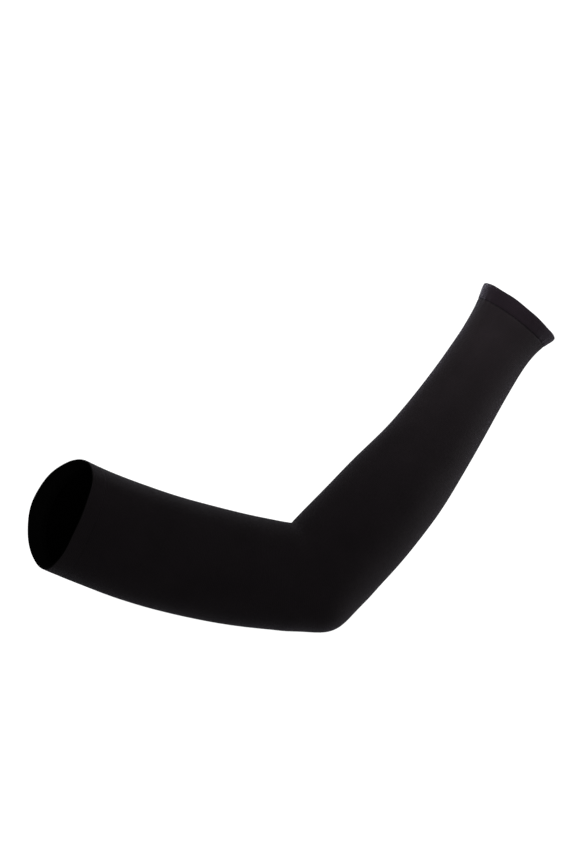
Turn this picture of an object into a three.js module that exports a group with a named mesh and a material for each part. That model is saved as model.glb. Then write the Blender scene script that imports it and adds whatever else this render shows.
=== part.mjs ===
// Cooling arm sleeve: a seamless knitted stretch tube in the form of a bent arm, with a turned and
// stitched hem at each end. Millimetres, +Z up. The arm bends in the XZ plane with its crook upwards,
// the near side is -Y, and the origin is the middle of the opening for the upper arm.
import * as THREE from "three";
import { ParametricGeometry } from "three/addons/geometries/ParametricGeometry.js";

// Cloth
const CLOTH = 1.0; // one layer of the knit
const GAP = 0.3; // clearance between separate pieces
const TURNED = 0.9; // the layer turned to the inside at a hem, pressed flat
const HEM = 11; // width of a hem, from its fold to its stitch line
const ALLOWANCE = 3; // how far the turned layer runs on past the stitch line
const SLOPE = 2; // a plump hem's outer layer slopes down to the stitch line over this width
const TUBE_COLOUR = 0x34323a;
const HEM_COLOUR = 0x44414b;
const ROUGHNESS = 0.9; // matt, as fine knit is

// Fineness of the faceted surfaces
const AROUND = 36; // facets round the arm
const BETWEEN = 3; // rings from one section of the arm to the next, and more where it bends
const RING_TURN = 2.6; // the most that the arm turns from one ring to the next, in degrees
const CLOSEST = 1; // no ring lies nearer than this to an end of the tube
const FOLD_POINTS = 3; // facets on each half of a fold

// The arm inside the sleeve, a row for each section from the upper arm to the wrist.
//   along    distance down the arm from the middle of the opening
//   heading  how far the arm points above the horizontal, in degrees
//   crook    half width towards the inside of the bend
//   outer    half width towards the point of the elbow
//   depth    half width across the bend
const SECTIONS = [
  { along: 0, heading: -25.0, crook: 40.7, outer: 40.4, depth: 38.6 },
  { along: 30, heading: -20.8, crook: 40.1, outer: 40.0, depth: 38.6 },
  { along: 60, heading: -18.6, crook: 39.8, outer: 40.7, depth: 39.0 },
  { along: 112, heading: -12.4, crook: 39.4, outer: 40.4, depth: 38.6 },
  { along: 150, heading: -9.0, crook: 37.9, outer: 39.4, depth: 37.6 },
  { along: 168.5, heading: -8.5, crook: 37.0, outer: 38.6, depth: 37.0 },
  { along: 208, heading: 46.0, crook: 38.4, outer: 37.5, depth: 36.5 },
  { along: 240, heading: 46.8, crook: 37.6, outer: 37.4, depth: 36.0 },
  { along: 274, heading: 48.7, crook: 35.7, outer: 35.7, depth: 34.0 },
  { along: 311.5, heading: 52.7, crook: 31.4, outer: 31.4, depth: 29.6 },
  { along: 346.5, heading: 55.9, crook: 28.6, outer: 28.5, depth: 25.6 },
  { along: 377, heading: 56.8, crook: 26.8, outer: 26.9, depth: 22.8 },
  { along: 402, heading: 56.2, crook: 26.5, outer: 26.8, depth: 21.8 },
  { along: 417.5, heading: 53.5, crook: 28.2, outer: 29.2, depth: 22.6 },
  { along: 430, heading: 51.4, crook: 32.2, outer: 33.6, depth: 24.0 },
];
const LENGTH = SECTIONS[SECTIONS.length - 1].along;

// The point of the elbow, which stands out from the outer side.
const ELBOW = {
  along: 189.2, // where it lies down the arm
  out: 5.3, // how far it stands out
  width: 6, // how quickly it fades along the arm
};

// The hems. `from` is the fold, `way` goes from it towards the elbow, and `plump` is how far the hem stands
// out from the tube.
const HEMS = [
  { name: "upper_arm_hem", from: 0, way: 1, plump: 0 },
  { name: "wrist_hem", from: LENGTH, way: -1, plump: 0.1 },
];

// The edge of the opening for the upper arm, which is cut at a slant.
const EDGE = {
  towards: 78, // where it reaches furthest up the arm, in degrees round from the crook by the far side
  furthest: 12, // how far it lies up the arm there, from the middle of the opening
  between: -5, // the same a quarter of a turn from there, where it lies down the arm instead
  opposite: -10, // and half a turn from there, where it lies furthest down the arm
  kept: 18, // the cloth follows the edge's shape this far down the arm
  lost: 100, // and has none of it left from here on
};

const radians = THREE.MathUtils.degToRad;
const PLACES = SECTIONS.map((row) => row.along);
const WIDTHS = ["crook", "outer", "depth"];
const headings = new THREE.LinearInterpolant(PLACES, SECTIONS.map((row) => row.heading), 1);
const widths = new THREE.CubicInterpolant(
  PLACES,
  SECTIONS.flatMap((row) => WIDTHS.map((column) => row[column])),
  WIDTHS.length,
);

// The arm's form at a distance down the arm, which bends evenly from row to row and swells smoothly.
// Past either end it goes on as it ends.
function section(along) {
  const inside = THREE.MathUtils.clamp(along, 0, LENGTH);
  const [heading] = headings.evaluate(inside);
  const [crook, outer, depth] = widths.evaluate(inside);
  const point = ELBOW.out * Math.exp(-0.5 * ((inside - ELBOW.along) / ELBOW.width) ** 2);
  return { heading: radians(heading), crook, outer: outer + point, depth };
}

// The middle line of the arm, found by walking down it in short steps.
const STEP = 0.5;
const walked = [new THREE.Vector2(0, 0)];
for (let along = 0; along < LENGTH; along += STEP) {
  const heading = section(along + STEP / 2).heading;
  const stride = new THREE.Vector2(Math.cos(heading), Math.sin(heading)).multiplyScalar(STEP);
  walked.push(walked[walked.length - 1].clone().add(stride));
}

// A point on the middle line, which goes straight on past either end.
function middle(along) {
  const inside = THREE.MathUtils.clamp(along, 0, LENGTH);
  const index = Math.min(Math.floor(inside / STEP), walked.length - 2);
  const point = walked[index].clone().lerp(walked[index + 1], inside / STEP - index);
  const heading = section(along).heading;
  const beyond = along - inside;
  return point.add(new THREE.Vector2(Math.cos(heading), Math.sin(heading)).multiplyScalar(beyond));
}

// How far the cloth at a place is shifted up the arm by the shape of the opening's edge.
function shift(along, turn) {
  const kept = 1 - THREE.MathUtils.smoothstep(along, EDGE.kept, EDGE.lost);
  const across = Math.cos(2 * Math.PI * turn - radians(EDGE.towards));
  const slant = (EDGE.furthest - EDGE.opposite) / 2;
  const bow = (EDGE.furthest + EDGE.opposite) / 2 - EDGE.between;
  return kept * (EDGE.between + slant * across + bow * across ** 2);
}

// A point of the cloth: along the arm, part of a turn round it, and depth below the tube's outer face.
function skin(along, turn, inset, target) {
  const place = along - shift(along, turn);
  const { heading, crook, outer, depth } = section(place);
  const angle = 2 * Math.PI * turn;
  const half = (Math.cos(angle) > 0 ? crook : outer) - inset;
  const rise = half * Math.cos(angle);
  const centre = middle(place);
  target.set(
    centre.x - rise * Math.sin(heading),
    (depth - inset) * Math.sin(angle),
    centre.y + rise * Math.cos(heading),
  );
}

// A closed wall: its profile, a loop of points with along and inset, carried once round the arm.
function wall(name, profile, colour) {
  const count = profile.length;
  const surface = (u, v, target) => {
    const { along, inset } = profile[Math.round(v * count) % count];
    skin(along, u % 1, inset, target);
  };
  const material = new THREE.MeshStandardMaterial({ color: colour, roughness: ROUGHNESS });
  const mesh = new THREE.Mesh(new ParametricGeometry(surface, AROUND, count), material);
  mesh.name = name;
  return mesh;
}

// The rings of the tube, closer together where the arm bends.
function rings(first, last) {
  const places = SECTIONS.slice(1).flatMap((next, index) => {
    const row = SECTIONS[index];
    const bend = Math.abs(next.heading - row.heading);
    const count = Math.max(BETWEEN, Math.ceil(bend / RING_TURN));
    const spacing = (next.along - row.along) / count;
    return Array.from({ length: count }, (_, ring) => row.along + ring * spacing);
  });
  const between = places.filter((along) => along > first + CLOSEST && along < last - CLOSEST);
  return [first, ...between, last];
}

// The tube runs from stitch line to stitch line.
function tubeProfile() {
  const places = rings(HEM + GAP, LENGTH - HEM - GAP);
  const outside = places.map((along) => ({ along, inset: 0 }));
  const inside = places.map((along) => ({ along, inset: CLOTH }));
  return [...inside, ...outside.reverse()];
}

// A hem: an outer layer, a round fold at the edge, and the turned layer, which runs on past the stitch
// line under the end of the tube.
function hemProfile({ from, way, plump }) {
  const under = CLOTH + GAP;
  const inner = under + TURNED;
  const radius = (inner + plump) / 2;
  const outline = new THREE.Path();
  outline.moveTo(HEM, under);
  outline.lineTo(HEM, 0);
  outline.lineTo(HEM - SLOPE, -plump);
  outline.lineTo(radius, -plump);
  outline.absarc(radius, radius - plump, radius, -Math.PI / 2, -1.5 * Math.PI, true);
  outline.lineTo(HEM + ALLOWANCE, inner);
  outline.lineTo(HEM + ALLOWANCE, under);
  const points = outline.getPoints(FOLD_POINTS);
  const loop = points.map((point) => ({ along: from + way * point.x, inset: point.y }));
  return way > 0 ? loop : loop.reverse();
}

const sleeve = new THREE.Group();
sleeve.name = "cooling_arm_sleeve";
sleeve.add(wall("sleeve_tube", tubeProfile(), TUBE_COLOUR));
sleeve.add(...HEMS.map((hem) => wall(hem.name, hemProfile(hem), HEM_COLOUR)));

export default sleeve;
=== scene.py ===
"""Cooling arm sleeve in its worn form: a seamless knitted tube with a turned, stitched hem at each end.

Blender's metres, +Z up. The arm bends in the XZ plane with its crook upwards, and the near side is -Y.
Sizes of the cloth are given in millimetres, as a maker would, and turned to metres where a mesh is made.
"""

import logging
import math
from dataclasses import dataclass
from enum import Enum
from typing import Any

import bpy
import numpy as np
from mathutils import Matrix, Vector


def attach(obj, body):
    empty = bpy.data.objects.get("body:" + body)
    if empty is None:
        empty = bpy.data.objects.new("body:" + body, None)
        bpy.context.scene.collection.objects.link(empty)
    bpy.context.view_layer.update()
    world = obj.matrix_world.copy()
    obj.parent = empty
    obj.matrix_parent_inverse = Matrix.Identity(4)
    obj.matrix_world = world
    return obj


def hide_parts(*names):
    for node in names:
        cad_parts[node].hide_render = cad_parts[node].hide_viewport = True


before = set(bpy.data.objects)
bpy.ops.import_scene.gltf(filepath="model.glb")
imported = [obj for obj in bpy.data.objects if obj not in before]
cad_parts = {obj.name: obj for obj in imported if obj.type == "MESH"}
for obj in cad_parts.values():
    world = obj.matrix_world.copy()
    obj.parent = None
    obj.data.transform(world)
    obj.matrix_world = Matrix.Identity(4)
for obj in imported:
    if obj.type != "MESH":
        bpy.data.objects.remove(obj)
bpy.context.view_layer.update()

log = logging.getLogger("arm_sleeve")

MM = 0.001
BODY = "root"
KNIT_UV = "knit"

# Places of some sockets on nodes that have one socket of each name for each kind of data.
MIX_FIRST, MIX_SECOND, MIX_RESULT = 6, 7, 2
RANDOM_NUMBER = 1


def to_linear(colour: str) -> tuple[float, float, float, float]:
    """Turns an sRGB hex colour into the linear colour that Blender uses.

    Args:
        colour: Six hex digits after a hash sign.

    Returns:
        Linear red, green and blue with full opacity.
    """
    shares = [int(colour[place:place + 2], 16) / 255 for place in (1, 3, 5)]
    linear = [s / 12.92 if s <= 0.04045 else ((s + 0.055) / 1.055) ** 2.4 for s in shares]
    return (*linear, 1.0)


def add_node(
    tree: bpy.types.NodeTree, kind: str, inputs: dict[str | int, Any] | None = None, **settings: Any
) -> bpy.types.Node:
    """Adds a node to a tree, sets it up and links it.

    Args:
        tree: The shader or geometry tree.
        kind: Blender's name for the node.
        inputs: Its sockets by name or place, each with a value, the output that feeds it, or the node
            whose first output feeds it.
        settings: The node's own properties and their values.

    Returns:
        The new node.
    """
    node = tree.nodes.new(kind)
    for name, value in settings.items():
        setattr(node, name, value)
    for socket, value in (inputs or {}).items():
        if isinstance(value, bpy.types.Node):
            value = value.outputs[0]
        if isinstance(value, bpy.types.NodeSocket):
            tree.links.new(value, node.inputs[socket])
        else:
            node.inputs[socket].default_value = value
    return node


def bare_material(name: str) -> bpy.types.Material:
    """Makes a material with no nodes yet.

    Args:
        name: The material's name.

    Returns:
        The material.
    """
    material = bpy.data.materials.new(name)
    material.use_nodes = True
    material.node_tree.nodes.clear()
    return material


def add_object(name: str, data: bpy.types.ID) -> bpy.types.Object:
    """Puts a mesh, a light or a camera into the scene.

    Args:
        name: The object's name.
        data: What it shows.

    Returns:
        The new object.
    """
    thing = bpy.data.objects.new(name, data)
    bpy.context.scene.collection.objects.link(thing)
    return thing


def smoothstep(value: np.ndarray, low: float, high: float) -> np.ndarray:
    """Rises smoothly from 0 at low to 1 at high."""
    share = np.clip((value - low) / (high - low), 0.0, 1.0)
    return share * share * (3.0 - 2.0 * share)


@dataclass(frozen=True)
class Section:
    """A section across the arm.

    Attributes:
        along: Millimetres down the arm from the middle of the upper opening.
        heading: How far the arm points above the horizontal, in degrees.
        crook: Half width towards the inside of the bend, in millimetres.
        outer: Half width towards the point of the elbow, in millimetres.
        depth: Half width across the bend, in millimetres.
    """

    along: float
    heading: float
    crook: float
    outer: float
    depth: float


@dataclass(frozen=True)
class ElbowPoint:
    """The point of the elbow, which stands out from the outer side.

    Attributes:
        along: Where it lies, in millimetres down the arm.
        out: How far it stands out, in millimetres.
        width: How quickly it fades along the arm, in millimetres.
    """

    along: float = 189.2
    out: float = 5.3
    width: float = 6.0

    def lift(self, along: np.ndarray) -> np.ndarray:
        """How far the outer side stands out at a distance down the arm, in millimetres."""
        return self.out * np.exp(-0.5 * ((along - self.along) / self.width) ** 2)


@dataclass(frozen=True)
class OpeningEdge:
    """The edge of the opening for the upper arm, which is cut at a slant.

    Attributes:
        towards: Where it reaches furthest up the arm, in degrees round from the crook by the far side.
        furthest: How far it lies up the arm there, in millimetres from the middle of the opening.
        between: How far it lies up the arm a quarter of a turn from there, in millimetres.
        opposite: How far it lies up the arm half a turn from there, in millimetres.
        kept: The cloth follows the edge's shape this far down the arm, in millimetres.
        lost: It has none of that shape left from here on, in millimetres.
    """

    towards: float = 78.0
    furthest: float = 12.0
    between: float = -5.0
    opposite: float = -10.0
    kept: float = 18.0
    lost: float = 100.0

    def shift(self, along: np.ndarray, turn: np.ndarray) -> np.ndarray:
        """Finds how far the edge's shape shifts the cloth up the arm.

        Args:
            along: Millimetres down the arm.
            turn: Share of a turn round the arm.

        Returns:
            Millimetres up the arm.
        """
        kept = 1.0 - smoothstep(along, self.kept, self.lost)
        across = np.cos(2.0 * math.pi * turn - math.radians(self.towards))
        slant = (self.furthest - self.opposite) / 2
        bow = (self.furthest + self.opposite) / 2 - self.between
        return kept * (self.between + slant * across + bow * across**2)


@dataclass
class ArmForm:
    """The form that an arm gives to the sleeve, the same as the frame's.

    Attributes:
        sections: The sections from the upper arm to the wrist.
        elbow: The point of the elbow.
        edge: The edge of the upper opening.
        slide: The knit slides this far either way along the arm to ease its stretch, in millimetres.
        slide_steps: Places on that way that are averaged.
        step: Length of the steps that follow the middle line, in millimetres.
    """

    sections: tuple[Section, ...] = (
        Section(along=0, heading=-25.0, crook=40.7, outer=40.4, depth=38.6),
        Section(along=30, heading=-20.8, crook=40.1, outer=40.0, depth=38.6),
        Section(along=60, heading=-18.6, crook=39.8, outer=40.7, depth=39.0),
        Section(along=112, heading=-12.4, crook=39.4, outer=40.4, depth=38.6),
        Section(along=150, heading=-9.0, crook=37.9, outer=39.4, depth=37.6),
        Section(along=168.5, heading=-8.5, crook=37.0, outer=38.6, depth=37.0),
        Section(along=208, heading=46.0, crook=38.4, outer=37.5, depth=36.5),
        Section(along=240, heading=46.8, crook=37.6, outer=37.4, depth=36.0),
        Section(along=274, heading=48.7, crook=35.7, outer=35.7, depth=34.0),
        Section(along=311.5, heading=52.7, crook=31.4, outer=31.4, depth=29.6),
        Section(along=346.5, heading=55.9, crook=28.6, outer=28.5, depth=25.6),
        Section(along=377, heading=56.8, crook=26.8, outer=26.9, depth=22.8),
        Section(along=402, heading=56.2, crook=26.5, outer=26.8, depth=21.8),
        Section(along=417.5, heading=53.5, crook=28.2, outer=29.2, depth=22.6),
        Section(along=430, heading=51.4, crook=32.2, outer=33.6, depth=24.0),
    )
    elbow: ElbowPoint = ElbowPoint()
    edge: OpeningEdge = OpeningEdge()
    slide: float = 75.0
    slide_steps: int = 41
    step: float = 0.5

    def __post_init__(self) -> None:
        """Prepares the curves through the sections and walks down the middle line."""
        self.places = np.array([section.along for section in self.sections])
        self.headings = np.radians([section.heading for section in self.sections])
        self.widths = np.array([(s.crook, s.outer, s.depth) for s in self.sections])
        secants = np.diff(self.widths, axis=0) / np.diff(self.places)[:, None]
        between = (secants[:-1] + secants[1:]) / 2
        self.slopes = np.concatenate([secants[:1], between, secants[-1:]])
        starts = np.arange(0.0, self.length, self.step)
        strides = self.step * self.direction(starts + self.step / 2)
        self.walked = np.concatenate([np.zeros((1, 2)), np.cumsum(strides, axis=0)])
        self.walked_at = np.append(starts, self.length)

    @property
    def length(self) -> float:
        """The sleeve's length down the middle of the arm, in millimetres."""
        return self.sections[-1].along

    def heading(self, along: np.ndarray) -> np.ndarray:
        """The arm's heading in radians, which changes evenly from section to section."""
        return np.interp(along, self.places, self.headings)

    def eased_heading(self, along: np.ndarray) -> np.ndarray:
        """Averages the heading over the way that the knit slides.

        Args:
            along: Millimetres down the arm.

        Returns:
            Radians above the horizontal.
        """
        offsets = np.linspace(-self.slide, self.slide, self.slide_steps)
        weights = np.cos(0.5 * math.pi * offsets / self.slide) ** 2
        total = sum(weight * self.heading(along + offset) for weight, offset in zip(weights, offsets))
        return total / weights.sum()

    def direction(self, along: np.ndarray) -> np.ndarray:
        """The arm's direction in X and Z."""
        heading = self.heading(along)
        return np.stack([np.cos(heading), np.sin(heading)], axis=-1)

    def middle(self, along: np.ndarray) -> np.ndarray:
        """Finds the middle line, which goes straight on past either end.

        Args:
            along: Millimetres down the arm.

        Returns:
            X and Z in millimetres.
        """
        inside = np.clip(along, 0.0, self.length)
        point = np.stack([np.interp(inside, self.walked_at, column) for column in self.walked.T], axis=-1)
        return point + (along - inside)[..., None] * self.direction(along)

    def half_widths(self, along: np.ndarray) -> np.ndarray:
        """Finds the half widths on smooth curves through the sections.

        Args:
            along: Millimetres down the arm.

        Returns:
            Crook, outer and depth half widths in millimetres.
        """
        inside = np.clip(along, 0.0, self.length)
        row = np.clip(np.searchsorted(self.places, inside, side="right") - 1, 0, len(self.places) - 2)
        span = (self.places[row + 1] - self.places[row])[..., None]
        t = (inside - self.places[row])[..., None] / span
        curve = (
            (2 * t**3 - 3 * t**2 + 1) * self.widths[row]
            + (t**3 - 2 * t**2 + t) * span * self.slopes[row]
            + (3 * t**2 - 2 * t**3) * self.widths[row + 1]
            + (t**3 - t**2) * span * self.slopes[row + 1]
        )
        crook, outer, depth = np.moveaxis(curve, -1, 0)
        return np.stack([crook, outer + self.elbow.lift(inside), depth])

    def skin(self, along: np.ndarray, turn: np.ndarray, inset: np.ndarray) -> np.ndarray:
        """Finds points of the cloth.

        Args:
            along: Millimetres down the arm, before the upper opening's edge shifts the cloth.
            turn: Share of a turn round the arm, from the crook by the far side.
            inset: Millimetres below the tube's outer face.

        Returns:
            Points in metres.
        """
        along, turn, inset = np.broadcast_arrays(along, turn, inset)
        place = along - self.edge.shift(along, turn)
        crook, outer, depth = self.half_widths(place)
        angle = 2.0 * math.pi * turn
        rise = (np.where(np.cos(angle) > 0.0, crook, outer) - inset) * np.cos(angle)
        centre = self.middle(place)
        heading = self.heading(place)
        x = centre[..., 0] - rise * np.sin(heading)
        y = (depth - inset) * np.sin(angle)
        z = centre[..., 1] + rise * np.cos(heading)
        return MM * np.stack([x, y, z], axis=-1)

    def knit_run(self, along: np.ndarray, turn: np.ndarray) -> np.ndarray:
        """Finds how far down the knit itself a place lies, with the elbow's stretch spread along the arm.

        Args:
            along: Millimetres down the arm.
            turn: Share of a turn round the arm.

        Returns:
            Metres down the knit.
        """
        along, turn = np.broadcast_arrays(along, turn)
        crook, outer, _ = self.half_widths(along)
        cosine = np.cos(2.0 * math.pi * turn)
        rise = np.where(cosine > 0.0, crook, outer) * cosine
        return MM * (along - (self.heading(along) - self.eased_heading(along)) * rise)

    def outward(self, along: np.ndarray, turn: np.ndarray, inset: np.ndarray) -> np.ndarray:
        """Finds the way out of the cloth.

        Args:
            along: Millimetres down the arm.
            turn: Share of a turn round the arm.
            inset: Millimetres below the tube's outer face.

        Returns:
            Unit vectors.
        """
        small_along, small_turn = 0.25, 0.001
        down = self.skin(along + small_along, turn, inset) - self.skin(along - small_along, turn, inset)
        across = self.skin(along, turn + small_turn, inset) - self.skin(along, turn - small_turn, inset)
        normal = np.cross(down, across)
        return normal / np.linalg.norm(normal, axis=-1, keepdims=True)


@dataclass(frozen=True)
class Swell:
    """A slow swell of the worn cloth that winds round the arm.

    Attributes:
        waves: How many times it rises round the arm.
        pitch: How far along the arm it turns by a radian, in millimetres, below zero the other way round.
        start: Where it starts, in radians.
        height: How high it is, in millimetres.
    """

    waves: int
    pitch: float
    start: float
    height: float

    def lift(self, along: np.ndarray, turn: np.ndarray) -> np.ndarray:
        """How far the cloth is lifted, in millimetres."""
        return self.height * np.sin(2.0 * math.pi * self.waves * turn + along / self.pitch + self.start)


@dataclass(frozen=True)
class Tuck:
    """A soft fold in the cloth.

    Attributes:
        along: Where its line lies, in millimetres down the arm.
        turn: Where its middle lies round the arm, in turns.
        width: How wide it is along the arm, in millimetres.
        reach: How far it runs round the arm either way, in turns.
        height: How far it stands out, in millimetres.
    """

    along: float
    turn: float
    width: float
    reach: float
    height: float

    def lift(self, along: np.ndarray, turn: np.ndarray) -> np.ndarray:
        """How far the cloth is lifted, in millimetres, which fades away from the fold's middle."""
        away = np.mod(turn - self.turn + 0.5, 1.0) - 0.5
        return self.height * np.exp(-(((along - self.along) / self.width) ** 2) - (away / self.reach) ** 2)


@dataclass(frozen=True)
class Gathers:
    """Small gathers that a stitch line pulls into the knit, at uneven distances.

    Attributes:
        line: Where the stitch line lies, in millimetres down the arm.
        count: How many there are round the arm.
        uneven: How far they stray from even places, in radians.
        strays: How many times they stray to and fro round the arm.
        start: Where they start, in radians.
        height: How high they are at the line, in millimetres.
        fade: How far from the line they fade, in millimetres.
        fade_change: How much that changes round the arm, as a share.
        fade_waves: How many times it changes round the arm.
    """

    line: float
    count: int
    uneven: float
    strays: int
    start: float
    height: float
    fade: float
    fade_change: float = 0.45
    fade_waves: int = 7

    def lift(self, along: np.ndarray, turn: np.ndarray) -> np.ndarray:
        """Finds how far the cloth is lifted.

        Args:
            along: Millimetres down the arm.
            turn: Share of a turn round the arm.

        Returns:
            Millimetres.
        """
        angle = 2.0 * math.pi * turn
        wave = np.sin(self.count * angle + self.uneven * np.sin(self.strays * angle) + self.start)
        fade = self.fade * (1.0 + self.fade_change * np.sin(self.fade_waves * angle + self.start))
        return self.height * wave * np.exp(-np.abs(along - self.line) / fade)


@dataclass(frozen=True)
class ClothRelief:
    """The low relief of the worn knit.

    Attributes:
        gathers: The gathers at the two stitch lines.
        tucks: The folds at the crook.
        swells: The slow swells all over.
    """

    gathers: tuple[Gathers, ...]
    tucks: tuple[Tuck, ...] = (
        Tuck(along=170.0, turn=0.0, width=7.0, reach=0.08, height=0.25),
        Tuck(along=189.0, turn=0.0, width=5.0, reach=0.06, height=0.15),
    )
    swells: tuple[Swell, ...] = (
        Swell(waves=2, pitch=23.0, start=0.0, height=0.11),
        Swell(waves=3, pitch=-14.0, start=1.1, height=0.066),
        Swell(waves=5, pitch=9.0, start=2.3, height=0.044),
    )

    def lift(self, along: np.ndarray, turn: np.ndarray) -> np.ndarray:
        """How far the cloth stands out from the plain form, in millimetres."""
        return sum(form.lift(along, turn) for form in (*self.gathers, *self.tucks, *self.swells))


class KnitSide(Enum):
    """The two sides of the knitted cloth, with the place of each one's material on a mesh. The back is
    coloured near-black as painted shade inside the hollow sleeve.
    """

    FACE = 0
    BACK = 1


@dataclass(frozen=True)
class KnitFinish:
    """Nylon and elastane yarn in a fine weft knit.

    To the eye it is matt and nearly black, with faint columns of loops, darker between them as painted shade,
    and a soft light where it turns away.

    Attributes:
        name: The material's name.
        loop: Colour of the raised loops.
        groove: Colour down between the loops, darker than the loops as painted shade in the grooves.
        wales: Columns of loops round the sleeve.
        course: Distance between rows of loops, in millimetres.
        slant: How far a loop's legs lean, in courses.
        leg_round: How far in from its sides a leg is rounded, in wales.
        row_round: How far in from its sides a row is rounded, in courses.
        relief: How far the loops stand up, in millimetres.
        bump: How strongly that shows.
        fuzz: Size of the loose fibres on the yarn, in millimetres.
        fuzz_relief: How far they stand up, as a share of a loop.
        fuzz_detail: How many finer sizes of fibre there are.
        dye_patch: Size of the patches that took more or less dye, in millimetres.
        dye_change: How much lighter or darker they are, as a share.
        dye_detail: How many finer sizes of patch there are.
        dye_finer: How strong each finer size is, as a share of the one before it.
        roughness: Roughness of the yarn on the loops.
        groove_roughness: Roughness down between them.
        specular: Strength of the plain gloss.
        sheen: Strength of the soft light on the fibres at a glancing angle.
        sheen_roughness: How widely that light spreads.
        sheen_tint: Its colour.
    """

    name: str
    loop: str
    groove: str
    wales: int = 168
    course: float = 1.2
    slant: float = 0.9
    leg_round: float = 0.2
    row_round: float = 0.42
    relief: float = 0.09
    bump: float = 0.8
    fuzz: float = 1.1
    fuzz_relief: float = 0.35
    fuzz_detail: float = 2.0
    dye_patch: float = 22.0
    dye_change: float = 0.25
    dye_detail: float = 3.0
    dye_finer: float = 0.55
    roughness: float = 0.78
    groove_roughness: float = 0.92
    specular: float = 0.02
    sheen: float = 0.03
    sheen_roughness: float = 0.3
    sheen_tint: str = "#ece6ff"

    def loops(self, tree: bpy.types.NodeTree) -> bpy.types.Node:
        """Draws columns of slanted loops on the piece's own map.

        Real loops are about 0.7 mm apart. They are drawn about twice as coarse, so that they show.

        Args:
            tree: The material's tree.

        Returns:
            The node that gives the yarn's height, from 0 in a groove to 1 on a loop.
        """
        place = add_node(tree, "ShaderNodeUVMap", uv_map=KNIT_UV)
        split = add_node(tree, "ShaderNodeSeparateXYZ", {0: place})
        wale = add_node(tree, "ShaderNodeMath", {0: split.outputs["X"], 1: self.wales}, operation="MULTIPLY")
        across = add_node(tree, "ShaderNodeMath", {0: wale}, operation="FRACT")
        from_middle = add_node(tree, "ShaderNodeMath", {0: across, 1: 0.5}, operation="SUBTRACT")
        leg = add_node(tree, "ShaderNodeMath", {0: from_middle}, operation="ABSOLUTE")
        course = self.course * MM
        row = add_node(tree, "ShaderNodeMath", {0: split.outputs["Y"], 1: course}, operation="DIVIDE")
        lean = {0: leg, 1: 2 * self.slant, 2: row}
        slanted = add_node(tree, "ShaderNodeMath", lean, operation="MULTIPLY_ADD")
        strand = add_node(tree, "ShaderNodeMath", {0: slanted, 1: 0.5}, operation="PINGPONG")
        rib = add_node(tree, "ShaderNodeMath", {0: across, 1: 0.25}, operation="PINGPONG")
        sides = ({"Value": strand, "From Max": self.row_round}, {"Value": rib, "From Max": self.leg_round})
        smooth = {"interpolation_type": "SMOOTHSTEP"}
        rounded = [add_node(tree, "ShaderNodeMapRange", side, **smooth) for side in sides]
        return add_node(tree, "ShaderNodeMath", dict(enumerate(rounded)), operation="MULTIPLY")

    def material(self) -> bpy.types.Material:
        """Makes the knit, with loose fibres on its loops, painted shade down between them and a slow
        unevenness of its dye.

        Returns:
            The material.
        """
        material = bare_material(self.name)
        tree = material.node_tree
        height = self.loops(tree)
        where = add_node(tree, "ShaderNodeTexCoord").outputs["Object"]
        patches = {"Vector": where, "Scale": 1 / (self.dye_patch * MM)}
        patches |= {"Detail": self.dye_detail, "Roughness": self.dye_finer}
        dye = add_node(tree, "ShaderNodeTexNoise", patches)
        fibres = {"Vector": where, "Scale": 1 / (self.fuzz * MM), "Detail": self.fuzz_detail}
        fuzz = add_node(tree, "ShaderNodeTexNoise", fibres)
        raised = {0: fuzz, 1: self.fuzz_relief, 2: height}
        yarn = add_node(tree, "ShaderNodeMath", raised, operation="MULTIPLY_ADD")
        # The darker groove colour between the loops is painted shade, mixed in by the yarn's height.
        colours = {"Factor": height, MIX_FIRST: to_linear(self.groove), MIX_SECOND: to_linear(self.loop)}
        shade = add_node(tree, "ShaderNodeMix", colours, data_type="RGBA")
        share = {"Value": dye, "To Min": 1 - self.dye_change, "To Max": 1 + self.dye_change}
        uneven = add_node(tree, "ShaderNodeMapRange", share)
        both = {"Factor": 1.0, MIX_FIRST: shade.outputs[MIX_RESULT], MIX_SECOND: uneven}
        dyed = add_node(tree, "ShaderNodeMix", both, data_type="RGBA", blend_type="MULTIPLY")
        matt = {"Value": height, "To Min": self.groove_roughness, "To Max": self.roughness}
        rough = add_node(tree, "ShaderNodeMapRange", matt)
        stands_up = {"Strength": self.bump, "Distance": self.relief * MM, "Height": yarn}
        bump = add_node(tree, "ShaderNodeBump", stands_up)
        shader = add_node(
            tree,
            "ShaderNodeBsdfPrincipled",
            {
                "Base Color": dyed.outputs[MIX_RESULT],
                "Roughness": rough,
                "Normal": bump,
                "Specular IOR Level": self.specular,
                "Sheen Weight": self.sheen,
                "Sheen Roughness": self.sheen_roughness,
                "Sheen Tint": to_linear(self.sheen_tint),
            },
        )
        add_node(tree, "ShaderNodeOutputMaterial", {"Surface": shader})
        return material


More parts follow.
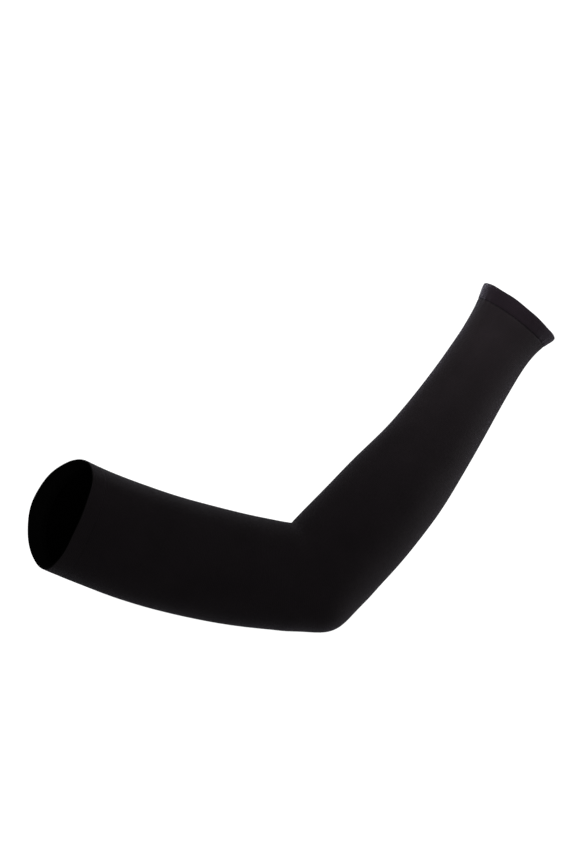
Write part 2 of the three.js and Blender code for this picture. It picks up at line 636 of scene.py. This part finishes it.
@dataclass(frozen=True)
class ThreadFinish:
    """Spun polyester sewing thread, two plies twisted together.

    To the eye it is a little smoother than the knit, with fine slanted bands, darker between the plies as
    painted shade.

    Attributes:
        name: The material's name.
        ply: Colour on the plies.
        groove: Colour between the plies, darker as painted shade.
        twist: Length of a twist, in millimetres.
        stray: How far the plies stray from even bands, in radians.
        relief: How far the plies stand up, in millimetres.
        bump: How strongly that shows.
        roughness: Roughness of the thread.
        specular: Strength of its plain gloss.
    """

    name: str
    ply: str
    groove: str
    twist: float = 0.9
    stray: float = 1.5
    relief: float = 0.05
    bump: float = 0.5
    roughness: float = 0.7
    specular: float = 0.02

    def material(self) -> bpy.types.Material:
        """Makes the thread.

        Returns:
            The material.
        """
        material = bare_material(self.name)
        tree = material.node_tree
        where = add_node(tree, "ShaderNodeTexCoord").outputs["Object"]
        # A wave texture of scale 1 has a band about every tenth of pi.
        scale = math.pi / (10 * self.twist * MM)
        bands = {"Vector": where, "Scale": scale, "Distortion": self.stray}
        twist = add_node(tree, "ShaderNodeTexWave", bands, bands_direction="DIAGONAL").outputs["Fac"]
        # The darker colour between the plies is painted shade.
        colours = {"Factor": twist, MIX_FIRST: to_linear(self.groove), MIX_SECOND: to_linear(self.ply)}
        shade = add_node(tree, "ShaderNodeMix", colours, data_type="RGBA")
        stands_up = {"Strength": self.bump, "Distance": self.relief * MM, "Height": twist}
        bump = add_node(tree, "ShaderNodeBump", stands_up)
        shader = add_node(
            tree,
            "ShaderNodeBsdfPrincipled",
            {
                "Base Color": shade.outputs[MIX_RESULT],
                "Normal": bump,
                "Roughness": self.roughness,
                "Specular IOR Level": self.specular,
            },
        )
        add_node(tree, "ShaderNodeOutputMaterial", {"Surface": shader})
        return material


@dataclass(frozen=True)
class Cloth:
    """Sizes of the cloth and its hems, in millimetres.

    Attributes:
        thick: One layer of the knit.
        gap: Clearance between the tube and the layer turned under its end.
        turned: The layer turned to the inside at a hem.
        hem: Width of a hem, from its fold to its stitch line.
        allowance: How far the turned layer runs on past the stitch line.
        cut_round: How far the corners of its cut edge are rounded.
        crisp: A ring this near keeps the corner at the stitch line crisp.
        around: Points round the arm on every piece.
    """

    thick: float = 1.0
    gap: float = 0.3
    turned: float = 0.9
    hem: float = 11.0
    allowance: float = 3.0
    cut_round: float = 0.3
    crisp: float = 0.4
    around: int = 192

    @property
    def under(self) -> float:
        """Depth of the turned layer's upper side."""
        return self.thick + self.gap

    @property
    def inner(self) -> float:
        """Depth of the turned layer's lower side."""
        return self.under + self.turned

    def turns(self) -> np.ndarray:
        """The places round the arm, in turns."""
        return np.arange(self.around) / self.around


class SleeveEnd(Enum):
    """The two ends of the sleeve, by the names of their hems in the frame."""

    UPPER_ARM = "upper_arm_hem"
    WRIST = "wrist_hem"

    @property
    def word(self) -> str:
        """The end's name without the hem."""
        return self.value.removesuffix("_hem")


@dataclass(frozen=True)
class HemShape:
    """How the cloth lies at a hem and its stitch line, in millimetres.

    Attributes:
        plump: How far the hem stands out from the tube.
        groove: How deep the stitches pull the cloth down.
        stitch_depth: How deep the row of stitches lies.
        parting: How far apart the hem and the tube lie at the stitches.
        face_share: Share of the round fold that shows the knit's face; the rest of the fold takes the
            near-black back as painted shade on the rim.
        curl: How far the edge curls in.
        curl_width: How far from the edge that starts.
        groove_width: How wide the groove is on each side.
    """

    plump: float
    groove: float
    stitch_depth: float
    parting: float
    face_share: float
    curl: float
    curl_width: float
    groove_width: float = 0.8

    def dip(self, away: np.ndarray) -> np.ndarray:
        """How far the cloth is pulled down at a distance from the stitches."""
        return self.groove * np.exp(-((away / self.groove_width) ** 2))

    def curled(self, from_fold: np.ndarray) -> np.ndarray:
        """How far the cloth is curled in at a distance from the fold."""
        return self.curl * np.clip(1.0 - from_fold / self.curl_width, 0.0, 1.0) ** 2


KnitMaterials = dict[KnitSide, bpy.types.Material]


@dataclass
class KnittedPiece:
    """A piece of the knit that follows the arm.

    Attributes:
        form: The arm's form.
        cloth: Sizes of the cloth.
        relief: Folds and gathers of the cloth.
        materials: The materials of the two sides of the knit.
    """

    form: ArmForm
    cloth: Cloth
    relief: ClothRelief
    materials: KnitMaterials

    def wall(
        self, name: str, along: np.ndarray, below: np.ndarray, shows_face: np.ndarray
    ) -> bpy.types.Object:
        """Makes a closed wall of cloth from rings round the arm.

        Args:
            name: The piece's name.
            along: Millimetres down the arm, in a row for each ring of the wall's closed profile.
            below: Depth of each ring below the tube's face, in millimetres.
            shows_face: Whether the strip from each ring to the next shows the knit's face, or else the back
                in its near-black painted shade.

        Returns:
            The new object.
        """
        turns = self.cloth.turns()[None, :]
        points = self.form.skin(along, turns, below[:, None] - self.relief.lift(along, turns))
        run = self.form.knit_run(along, turns)
        rings, around = run.shape
        ring, column = np.meshgrid(np.arange(rings), np.arange(around), indexing="ij")
        next_ring, next_column = (ring + 1) % rings, (column + 1) % around
        corners = [(ring, column), (next_ring, column), (next_ring, next_column), (ring, next_column)]
        faces = np.stack([r * around + c for r, c in corners], axis=-1).reshape(-1, 4)
        mesh = bpy.data.meshes.new(name)
        mesh.from_pydata(points.reshape(-1, 3).tolist(), [], faces.tolist())
        across = [column, column, column + 1, column + 1]
        flat = np.stack([np.stack([a / around, run[c]], axis=-1) for a, c in zip(across, corners)], axis=-2)
        layer = mesh.uv_layers.new(name=KNIT_UV)
        layer.uv.foreach_set("vector", flat.astype(np.float32).ravel())
        for side in KnitSide:
            mesh.materials.append(self.materials[side])
        sides = np.where(shows_face, KnitSide.FACE.value, KnitSide.BACK.value)
        mesh.polygons.foreach_set("material_index", np.repeat(sides, around).astype(np.int32))
        mesh.shade_smooth()
        mesh.update()
        return add_object(name, mesh)


@dataclass
class SleeveTube(KnittedPiece):
    """The seamless knitted tube, from one stitch line to the other.

    Attributes:
        shapes: How the cloth lies at each end.
        ring_spacing: Distance between rings on the face, in millimetres.
        back_spacing: Distance between rings on the plain back, in millimetres.
        end_rings: Distances from each end of the rings that round it off, in millimetres.
        relaxed: Width and length of the unworn cloth, slit open and laid flat, in metres.
        relaxed_area: Its area, which tapers to the wrist, in square metres.
    """

    shapes: dict[SleeveEnd, HemShape]
    ring_spacing: float = 1.3
    back_spacing: float = 3.6
    end_rings: tuple[float, ...] = (0.0, 0.25, 0.5, 0.8, 1.15, 1.6, 2.2)
    relaxed: tuple[float, float] = (0.23, 0.41)
    relaxed_area: float = 0.078

    def places(self, spacing: float) -> np.ndarray:
        """Finds where the rings of one side lie.

        Args:
            spacing: Distance between rings away from the ends, in millimetres.

        Returns:
            Millimetres down the arm, in order.
        """
        first = self.cloth.hem + self.shapes[SleeveEnd.UPPER_ARM].parting
        last = self.form.length - self.cloth.hem - self.shapes[SleeveEnd.WRIST].parting
        ends = np.array(self.end_rings)
        count = round((last - first - 2 * ends[-1]) / spacing)
        between = np.linspace(first + ends[-1], last - ends[-1], count + 1)
        return np.concatenate([first + ends[:-1], between, last - ends[:-1][::-1]])

    def build(self) -> bpy.types.Object:
        """Makes the tube's wall, its face to the outside.

        Returns:
            The tube.
        """
        face, back = self.places(self.ring_spacing), self.places(self.back_spacing)[::-1]
        dips = self.shapes[SleeveEnd.UPPER_ARM].dip(face - face[0])
        dips = dips + self.shapes[SleeveEnd.WRIST].dip(face[-1] - face)
        below = np.concatenate([dips, np.full_like(back, self.cloth.thick)])
        rings = np.concatenate([face, back])[:, None]
        return self.wall("knit_tube", rings, below, np.arange(len(rings)) < len(face) - 1)

    def dress(self, tube: bpy.types.Object, with_pieces: list[bpy.types.Object]) -> None:
        """Ties the tube to the frame and hides the frame's tube.

        Args:
            tube: The tube.
            with_pieces: The hems and stitches on it; not used.
        """
        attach(tube, BODY)
        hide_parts("sleeve_tube")


@dataclass
class Hem(KnittedPiece):
    """A turned hem: an outer layer, a round fold at the edge and a layer turned to the inside.

    Attributes:
        end: The end of the sleeve.
        shape: How the cloth lies here.
        spacing: Distance between rings on the outer layer, in millimetres.
        fold_rings: Rings on the round fold.
        wavers: How many times the edge wavers round the arm, each with how far, in millimetres.
    """

    end: SleeveEnd
    shape: HemShape
    spacing: float = 0.6
    fold_rings: int = 9
    wavers: tuple[tuple[int, float], ...] = ((4, 0.18), (9, 0.12))

    def along(self, from_fold: np.ndarray) -> np.ndarray:
        """Turns a distance from the hem's fold into one down the arm, both in millimetres."""
        return from_fold if self.end is SleeveEnd.UPPER_ARM else self.form.length - from_fold

    def profile(self) -> tuple[np.ndarray, np.ndarray, np.ndarray]:
        """Draws the hem's closed profile: the outer layer to the fold, round it, and back inside.

        Returns:
            Millimetres from the fold, millimetres below the tube's face, and whether the knit's face shows.
        """
        cloth, shape = self.cloth, self.shape
        radius = (cloth.inner + shape.plump) / 2
        steps = round((cloth.hem - radius) / self.spacing)
        outer = np.linspace(cloth.hem, radius, steps, endpoint=False)
        outer_below = shape.dip(cloth.hem - outer) * (1 + shape.plump / shape.groove) - shape.plump
        angle = np.linspace(0.0, math.pi, self.fold_rings)
        fold = radius - radius * np.sin(angle)
        fold_below = radius - shape.plump - radius * np.cos(angle)
        last = cloth.hem + cloth.allowance
        inner = np.linspace(radius, last, steps)[1:]
        inner_below = np.full_like(inner, cloth.inner)
        edge = np.full(2, last + cloth.cut_round / 2)
        edge_below = np.array([cloth.inner - cloth.cut_round, cloth.under + cloth.cut_round])
        under = np.array([last, cloth.hem + cloth.crisp, cloth.hem])
        under_below = np.full_like(under, cloth.under)
        from_fold = np.concatenate([outer, fold, inner, edge, under])
        below = np.concatenate([outer_below, fold_below, inner_below, edge_below, under_below])
        # The fold past the face's share takes the back's near-black, painted shade on the rim.
        shows_face = np.arange(len(from_fold)) < len(outer) + round(shape.face_share * self.fold_rings)
        return from_fold, below + shape.curled(from_fold), shows_face

    def build(self) -> bpy.types.Object:
        """Makes the hem's wall, with an edge that wavers a little.

        Returns:
            The hem.
        """
        from_fold, below, shows_face = self.profile()
        # The two hems face opposite ways down the arm, so one profile runs backwards to face outwards.
        if self.end is SleeveEnd.UPPER_ARM:
            from_fold, below = from_fold[::-1], below[::-1]
            shows_face = np.roll(shows_face[::-1], -1)
        angle = 2.0 * math.pi * self.cloth.turns()[None, :]
        waver = sum(far * np.sin(times * angle + times) for times, far in self.wavers)
        at_edge = 1.0 - smoothstep(from_fold, 0.0, self.cloth.hem)
        rings = self.along(from_fold[:, None] + at_edge[:, None] * waver)
        return self.wall(f"{self.end.word}_turned_hem", rings, below, shows_face)

    def dress(self, hem: bpy.types.Object) -> None:
        """Ties the hem to the frame.

        Args:
            hem: The hem.
        """
        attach(hem, BODY)
        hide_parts(self.end.value)


class ThreadTree:
    """A geometry tree that lays thread along a guide.

    Attributes:
        tree: The tree.
        given: Its inputs.
        places: The node that gives evenly spaced places along the guide.
        outline: The node that gives the thread's round outline.
    """

    def __init__(self, name: str, sides: int, sizes: dict[str, str]) -> None:
        """Starts the tree with what every thread needs.

        Args:
            name: The tree's name.
            sides: Sides of the thread.
            sizes: The inputs of this thread alone, each with its kind of socket.
        """
        self.tree = bpy.data.node_groups.new(name, "GeometryNodeTree")
        sockets = {
            "Guide": "NodeSocketGeometry",
            "Places": "NodeSocketInt",
            "Thread radius": "NodeSocketFloat",
            "Thread": "NodeSocketMaterial",
            **sizes,
        }
        for word, kind in sockets.items():
            self.tree.interface.new_socket(word, in_out="INPUT", socket_type=kind)
        self.tree.interface.new_socket("Stitches", in_out="OUTPUT", socket_type="NodeSocketGeometry")
        self.given = add_node(self.tree, "NodeGroupInput").outputs
        line = add_node(self.tree, "GeometryNodeMeshToCurve", {"Mesh": self.given["Guide"]})
        spaced = {"Curve": line, "Count": self.given["Places"]}
        self.places = add_node(self.tree, "GeometryNodeResampleCurve", spaced, mode="COUNT")
        circle = {"Resolution": sides, "Radius": self.given["Thread radius"]}
        self.outline = add_node(self.tree, "GeometryNodeCurvePrimitiveCircle", circle)

    def finish(self, thread: bpy.types.Node) -> bpy.types.NodeTree:
        """Ends the tree.

        Args:
            thread: The node that gives the thread.

        Returns:
            The finished tree.
        """
        whole = add_node(self.tree, "GeometryNodeRealizeInstances", {"Geometry": thread})
        smooth = add_node(self.tree, "GeometryNodeSetShadeSmooth", {"Geometry": whole})
        finish = {"Geometry": smooth, "Material": self.given["Thread"]}
        dressed = add_node(self.tree, "GeometryNodeSetMaterial", finish)
        add_node(self.tree, "NodeGroupOutput", {"Stitches": dressed})
        return self.tree


@dataclass
class StitchLine:
    """The stitches that hold a hem: a row of needle stitches outside and a zigzag looper thread inside.

    Attributes:
        hem: The hem that they hold.
        needle: The needle thread's material.
        looper: The looper thread's material.
        pitch: Distance from one stitch to the next, in millimetres.
        length: Length of a needle stitch, in millimetres.
        uneven: Share by which stitches differ in size, either way.
        thread: Radius of the thread, in millimetres.
        crown: How far a needle stitch rises at its middle, in millimetres.
        looper_width: Width of the zigzag on the inside, in millimetres.
        looper_shift: How far the zigzag lies from the needle row, away from the edge, in millimetres.
        sides: Sides of the thread.
        bow_steps: Steps along a needle stitch.
        zigzag_steps: Steps from one turn of the zigzag to the next.
        guide_points: Points on a guide round the arm.
        ahead: The way down the arm is taken to a place this far on, in millimetres.
        seed: Seed of the small differences between stitches.
    """

    hem: Hem
    needle: bpy.types.Material
    looper: bpy.types.Material
    pitch: float = 2.7
    length: float = 2.35
    uneven: float = 0.06
    thread: float = 0.22
    crown: float = 0.16
    looper_width: float = 4.2
    looper_shift: float = 0.8
    sides: int = 6
    bow_steps: int = 6
    zigzag_steps: int = 4
    guide_points: int = 240
    ahead: float = 1.0
    seed: int = 4

    def guide(self, name: str, from_fold: float, below: float) -> bpy.types.Object:
        """Makes a closed line of edges round the arm that a thread follows.

        Args:
            name: The name of the piece that the guide becomes.
            from_fold: Distance from the hem's fold, in millimetres.
            below: Depth below the tube's face, in millimetres.

        Returns:
            The guide, with the way out of the cloth and the way down the arm at each point.
        """
        count, form = self.guide_points, self.hem.form
        turns = np.arange(count) / count
        along = np.full_like(turns, self.hem.along(np.float64(from_fold)))
        inset = below - self.hem.relief.lift(along, turns)
        points = form.skin(along, turns, inset)
        mesh = bpy.data.meshes.new(name)
        mesh.from_pydata(points.tolist(), [(place, (place + 1) % count) for place in range(count)], [])
        down = form.skin(along + self.ahead, turns, inset) - points
        down = down / np.linalg.norm(down, axis=-1, keepdims=True)
        for word, vectors in (("outward", form.outward(along, turns, inset)), ("down_arm", down)):
            attribute = mesh.attributes.new(word, "FLOAT_VECTOR", "POINT")
            attribute.data.foreach_set("vector", vectors.astype(np.float32).ravel())
        return add_object(name, mesh)

    def count(self, guide: bpy.types.Object) -> int:
        """Finds how many stitches go round a guide.

        Args:
            guide: The guide.

        Returns:
            The number of stitches.
        """
        points = np.array([vertex.co for vertex in guide.data.vertices])
        around = np.linalg.norm(points - np.roll(points, 1, axis=0), axis=1).sum()
        return round(around / (self.pitch * MM))

    def needle_tree(self) -> bpy.types.NodeTree:
        """Builds the tree that lays short bowed stitches along a guide.

        Returns:
            The tree, with the stitches' sizes as inputs.
        """
        sizes = dict.fromkeys(("Stitch length", "Crown", "Smallest", "Largest"), "NodeSocketFloat")
        needle = ThreadTree("needle_stitches", self.sides, {**sizes, "Seed": "NodeSocketInt"})
        tree, given = needle.tree, needle.given
        half = add_node(tree, "ShaderNodeMath", {0: given["Stitch length"], 1: 0.5}, operation="MULTIPLY")
        back = add_node(tree, "ShaderNodeMath", {0: half, 1: -1.0}, operation="MULTIPLY")
        rise = add_node(tree, "ShaderNodeMath", {0: given["Crown"], 1: 2.0}, operation="MULTIPLY")
        sink = add_node(tree, "ShaderNodeMath", {0: given["Thread radius"], 1: -1.0}, operation="MULTIPLY")
        start = add_node(tree, "ShaderNodeCombineXYZ", {"X": back, "Z": sink})
        top = add_node(tree, "ShaderNodeCombineXYZ", {"Z": rise})
        end = add_node(tree, "ShaderNodeCombineXYZ", {"X": half, "Z": sink})
        arc = {"Resolution": self.bow_steps, "Start": start, "Middle": top, "End": end}
        bow = add_node(tree, "GeometryNodeCurveQuadraticBezier", arc)
        closed = {"Curve": bow, "Profile Curve": needle.outline, "Fill Caps": True}
        stitch = add_node(tree, "GeometryNodeCurveToMesh", closed)
        out = add_node(tree, "GeometryNodeInputNamedAttribute", {"Name": "outward"}, data_type="FLOAT_VECTOR")
        forward = add_node(tree, "GeometryNodeInputTangent")
        axes = {"Primary Axis": out.outputs["Attribute"], "Secondary Axis": forward}
        turned = add_node(tree, "FunctionNodeAxesToRotation", axes, primary_axis="Z", secondary_axis="X")
        chance = add_node(tree, "FunctionNodeRandomValue", {"Seed": given["Seed"]}, data_type="FLOAT")
        number = chance.outputs[RANDOM_NUMBER]
        spread = {"Value": number, "To Min": given["Smallest"], "To Max": given["Largest"]}
        size = add_node(tree, "ShaderNodeMapRange", spread)
        laid = {"Points": needle.places, "Instance": stitch, "Rotation": turned, "Scale": size}
        return needle.finish(add_node(tree, "GeometryNodeInstanceOnPoints", laid))

    def looper_tree(self) -> bpy.types.NodeTree:
        """Builds the tree that lays one zigzag thread along a guide.

        Returns:
            The tree, with the zigzag's sizes as inputs.
        """
        looper = ThreadTree("looper_thread", self.sides, {"Width": "NodeSocketFloat"})
        tree, given = looper.tree, looper.given
        index = add_node(tree, "GeometryNodeInputIndex")
        odd = add_node(tree, "ShaderNodeMath", {0: index, 1: 2.0}, operation="MODULO")
        side = add_node(tree, "ShaderNodeMath", {0: odd, 1: 0.5}, operation="SUBTRACT")
        swing = add_node(tree, "ShaderNodeMath", {0: side, 1: given["Width"]}, operation="MULTIPLY")
        down = add_node(
            tree, "GeometryNodeInputNamedAttribute", {"Name": "down_arm"}, data_type="FLOAT_VECTOR"
        )
        swung = {"Vector": down.outputs["Attribute"], "Scale": swing}
        offset = add_node(tree, "ShaderNodeVectorMath", swung, operation="SCALE")
        zigzag = add_node(tree, "GeometryNodeSetPosition", {"Geometry": looper.places, "Offset": offset})
        eased = add_node(tree, "GeometryNodeCurveSplineType", {"Curve": zigzag}, spline_type="CATMULL_ROM")
        rounder = {"Geometry": eased, "Resolution": self.zigzag_steps}
        fine = add_node(tree, "GeometryNodeSetSplineResolution", rounder)
        thread = {"Curve": fine, "Profile Curve": looper.outline}
        return looper.finish(add_node(tree, "GeometryNodeCurveToMesh", thread))

    def sew(self, guide: bpy.types.Object, tree: bpy.types.NodeTree, values: dict[str, Any]) -> None:
        """Turns a guide into the plain mesh of its thread.

        Args:
            guide: The guide.
            tree: The tree that makes the thread.
            values: The tree's inputs by name.
        """
        modifier = guide.modifiers.new("sewing", "NODES")
        modifier.node_group = tree
        for socket in tree.interface.items_tree:
            if socket.in_out == "INPUT" and socket.name in values:
                modifier[socket.identifier] = values[socket.name]
        graph = bpy.context.evaluated_depsgraph_get()
        mesh = bpy.data.meshes.new_from_object(guide.evaluated_get(graph), depsgraph=graph)
        guide.modifiers.remove(modifier)
        bare = guide.data
        guide.data = mesh
        bpy.data.meshes.remove(bare)
        mesh.name = guide.name

    def build(self) -> list[bpy.types.Object]:
        """Makes the needle stitches and the looper thread.

        Returns:
            The two pieces.
        """
        cloth, shape, end = self.hem.cloth, self.hem.shape, self.hem.end.word
        line = cloth.hem + shape.parting / 2
        row = self.guide(f"{end}_needle_stitches", line, shape.stitch_depth)
        inside = cloth.inner + self.thread
        chain = self.guide(f"{end}_looper_thread", line + self.looper_shift, inside)
        stitches = self.count(row)
        radius = self.thread * MM
        needle = {
            "Places": stitches,
            "Thread radius": radius,
            "Thread": self.needle,
            "Stitch length": self.length * MM,
            "Crown": self.crown * MM,
            "Smallest": 1 - self.uneven,
            "Largest": 1 + self.uneven,
            "Seed": self.seed,
        }
        width = self.looper_width * MM
        looper = {"Places": 2 * stitches, "Thread radius": radius, "Thread": self.looper, "Width": width}
        self.sew(row, self.needle_tree(), needle)
        self.sew(chain, self.looper_tree(), looper)
        return [row, chain]

    def dress(self, pieces: list[bpy.types.Object]) -> None:
        """Ties the threads to the frame.

        Args:
            pieces: The needle stitches and the looper thread.
        """
        for piece in pieces:
            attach(piece, BODY)


@dataclass(frozen=True)
class SoftBox:
    """A square studio light with a white cloth in front of it.

    Attributes:
        name: The light's name.
        place: Where it stands, in metres.
        target: What it points at, in metres.
        side: Its width and height, in metres.
        watts: Its power.
        spread: How widely it shines, in degrees.
    """

    name: str
    place: tuple[float, float, float]
    target: tuple[float, float, float]
    side: float
    watts: float
    spread: float

    def build(self) -> None:
        """Makes the light."""
        light = bpy.data.lights.new(self.name, "AREA")
        light.size = self.side
        light.energy = self.watts
        light.spread = math.radians(self.spread)
        lamp = add_object(self.name, light)
        lamp.location = self.place
        lamp.visible_camera = False
        way = Vector(self.target) - Vector(self.place)
        lamp.rotation_euler = way.to_track_quat("-Z", "Y").to_euler()


@dataclass
class Studio:
    """A white room with soft light, and the camera.

    Attributes:
        floor_height: Height of the floor, in metres.
        floor_side: Width of the floor, in metres.
        floor_colour: Its colour.
        room_light: Brightness of the white room.
        low_light: Share of that brightness that comes from below.
        low_rise: The brightness rises between these heights of a direction, from -1 to 1.
        azimuth: The camera's place round the object, in degrees from -Y.
        distance: Its distance from what it points at, at the same height, in metres.
        aim: What it points at, in metres.
        pixel: Size of a picture point there, in millimetres.
        picture_height: Height of the picture, in points.
        sensor: The camera's sensor size on the picture's long side, in millimetres.
        lights: The soft boxes.
    """

    floor_height: float = -0.32
    floor_side: float = 14.0
    floor_colour: str = "#f4f4f4"
    room_light: float = 1.15
    low_light: float = 0.75
    low_rise: tuple[float, float] = (-0.35, -0.06)
    azimuth: float = -14.0
    distance: float = 3.0
    aim: tuple[float, float, float] = (0.1648, 0.0, 0.05496)
    pixel: float = 0.70
    picture_height: int = 864
    sensor: float = 36.0
    lights: tuple[SoftBox, ...] = (
        SoftBox("wrist_soft_box", (0.30, -0.34, 0.38), (0.345, 0.0, 0.21), side=0.2, watts=0.9, spread=60.0),
        SoftBox("back_soft_box", (0.05, 0.50, 0.62), (0.36, 0.0, 0.24), side=0.2, watts=0.28, spread=25.0),
        SoftBox("top_soft_box", (0.10, 0.80, 0.75), (-0.06, 0.0, 0.03), side=0.3, watts=0.2, spread=25.0),
        SoftBox("right_soft_box", (1.00, 0.10, -0.10), (0.28, 0.0, 0.06), side=0.4, watts=4.2, spread=120.0),
    )

    def build_floor(self) -> None:
        """Makes the pale floor, an even matt white, which throws no light back at the sleeve above it."""
        half = self.floor_side / 2
        mesh = bpy.data.meshes.new("floor")
        corners = [(-half, -half), (half, -half), (half, half), (-half, half)]
        mesh.from_pydata([(x, y, self.floor_height) for x, y in corners], [], [(0, 1, 2, 3)])
        paint = bare_material("matt_white_paint")
        matt = {"Base Color": to_linear(self.floor_colour), "Roughness": 1.0, "Specular IOR Level": 0.0}
        surface = add_node(paint.node_tree, "ShaderNodeBsdfPrincipled", matt)
        add_node(paint.node_tree, "ShaderNodeOutputMaterial", {"Surface": surface})
        mesh.materials.append(paint)
        floor = add_object("floor", mesh)
        floor.visible_diffuse = False
        floor.visible_glossy = False

    def build_lights(self) -> None:
        """Makes the white surroundings, a little darker below, and the soft boxes, seen in plain colours."""
        world = bpy.data.worlds.new("white_room")
        world.use_nodes = True
        tree = world.node_tree
        tree.nodes.clear()
        way = add_node(tree, "ShaderNodeTexCoord").outputs["Generated"]
        split = add_node(tree, "ShaderNodeSeparateXYZ", {0: way})
        low, high = self.low_rise
        strength = add_node(
            tree,
            "ShaderNodeMapRange",
            {
                "Value": split.outputs["Z"],
                "From Min": low,
                "From Max": high,
                "To Min": self.low_light * self.room_light,
                "To Max": self.room_light,
            },
            interpolation_type="SMOOTHSTEP",
        )
        white = {"Color": (1.0, 1.0, 1.0, 1.0), "Strength": strength}
        glow = add_node(tree, "ShaderNodeBackground", white)
        add_node(tree, "ShaderNodeOutputWorld", {"Surface": glow})
        bpy.context.scene.world = world
        for light in self.lights:
            light.build()
        bpy.context.scene.view_settings.view_transform = "Standard"

    def build_camera(self) -> None:
        """Makes the camera at the photograph's angle and points it."""
        azimuth = math.radians(self.azimuth)
        back = Vector((math.sin(azimuth), -math.cos(azimuth), 0.0))
        data = bpy.data.cameras.new("camera")
        data.sensor_width = self.sensor
        data.lens = self.sensor * self.distance / (self.picture_height * self.pixel * MM)
        camera = add_object("camera", data)
        camera.location = Vector(self.aim) + self.distance * back
        camera.rotation_euler = (-back).to_track_quat("-Z", "Y").to_euler()
        bpy.context.scene.camera = camera


def main() -> None:
    """Builds the sleeve and its studio, piece by piece."""
    logging.basicConfig(level=logging.INFO, format="%(message)s")
    studio = Studio()
    studio.build_camera()
    studio.build_floor()
    studio.build_lights()
    form = ArmForm()
    cloth = Cloth()
    upper_line, wrist_line = cloth.hem, form.length - cloth.hem
    relief = ClothRelief(
        gathers=(
            Gathers(upper_line, count=44, uneven=1.4, strays=3, start=0.6, height=0.03, fade=4.5),
            Gathers(upper_line, count=27, uneven=1.9, strays=5, start=1.2, height=0.02, fade=4.5),
            Gathers(wrist_line, count=30, uneven=1.4, strays=3, start=2.1, height=0.156, fade=4.0),
            Gathers(wrist_line, count=19, uneven=1.9, strays=5, start=4.2, height=0.104, fade=4.0),
        )
    )
    shapes = {
        SleeveEnd.UPPER_ARM: HemShape(
            plump=0.0, groove=0.1, stitch_depth=0.42, parting=0.06, face_share=0.2, curl=0.1, curl_width=3.0
        ),
        SleeveEnd.WRIST: HemShape(
            plump=0.1, groove=0.2, stitch_depth=0.34, parting=0.3, face_share=0.5, curl=0.8, curl_width=5.0
        ),
    }
    # The darker groove colours of the knits and threads are painted shade between the loops and plies.
    grey, groove_painted_shade = "#141113", "#0a0809"
    dull = {"specular": 0.0, "sheen": 0.0}
    tube_face = KnitFinish("nylon_elastane_knit_face", grey, groove_painted_shade).material()
    # The backs are near-black: painted shade inside the hollow, with no gloss or sheen.
    tube_back_painted_shade = KnitFinish("nylon_elastane_knit_back_painted_shade", "#020202", "#010101", **dull).material()
    upper_face = KnitFinish("nylon_elastane_upper_hem_face", grey, groove_painted_shade).material()
    wrist_face = KnitFinish("nylon_elastane_wrist_hem_face", "#130e12", "#080608", sheen=0.09).material()
    hem_back_painted_shade = KnitFinish("nylon_elastane_hem_back_painted_shade", "#060606", "#030303", **dull).material()
    hem_materials = {
        SleeveEnd.UPPER_ARM: {KnitSide.FACE: upper_face, KnitSide.BACK: hem_back_painted_shade},
        SleeveEnd.WRIST: {KnitSide.FACE: wrist_face, KnitSide.BACK: hem_back_painted_shade},
    }
    needle_threads = {
        SleeveEnd.UPPER_ARM: ThreadFinish("spun_polyester_grey_thread", grey, groove_painted_shade).material(),
        # The wrist's needle thread is darker than the knit as painted shade in its stitch crease.
        SleeveEnd.WRIST: ThreadFinish("spun_polyester_thread_painted_crease_shade", "#0b0a0b", "#050505").material(),
    }
    # The looper thread is near-black as painted shade inside the sleeve.
    looper = ThreadFinish("spun_polyester_looper_thread_painted_shade", "#040404", "#020202", specular=0.0).material()
    tube_materials = {KnitSide.FACE: tube_face, KnitSide.BACK: tube_back_painted_shade}
    tube = SleeveTube(form, cloth, relief, tube_materials, shapes)
    knit = tube.build()
    on_the_tube = []
    for end in SleeveEnd:
        hem = Hem(form, cloth, relief, hem_materials[end], end, shapes[end])
        band = hem.build()
        hem.dress(band)
        line = StitchLine(hem, needle_threads[end], looper)
        stitches = line.build()
        line.dress(stitches)
        on_the_tube += [band, *stitches]
    tube.dress(knit, on_the_tube)
    for piece in (knit, *on_the_tube):
        log.info("%s: %d faces", piece.name, len(piece.data.polygons))


if __name__ == "__main__":
    main()
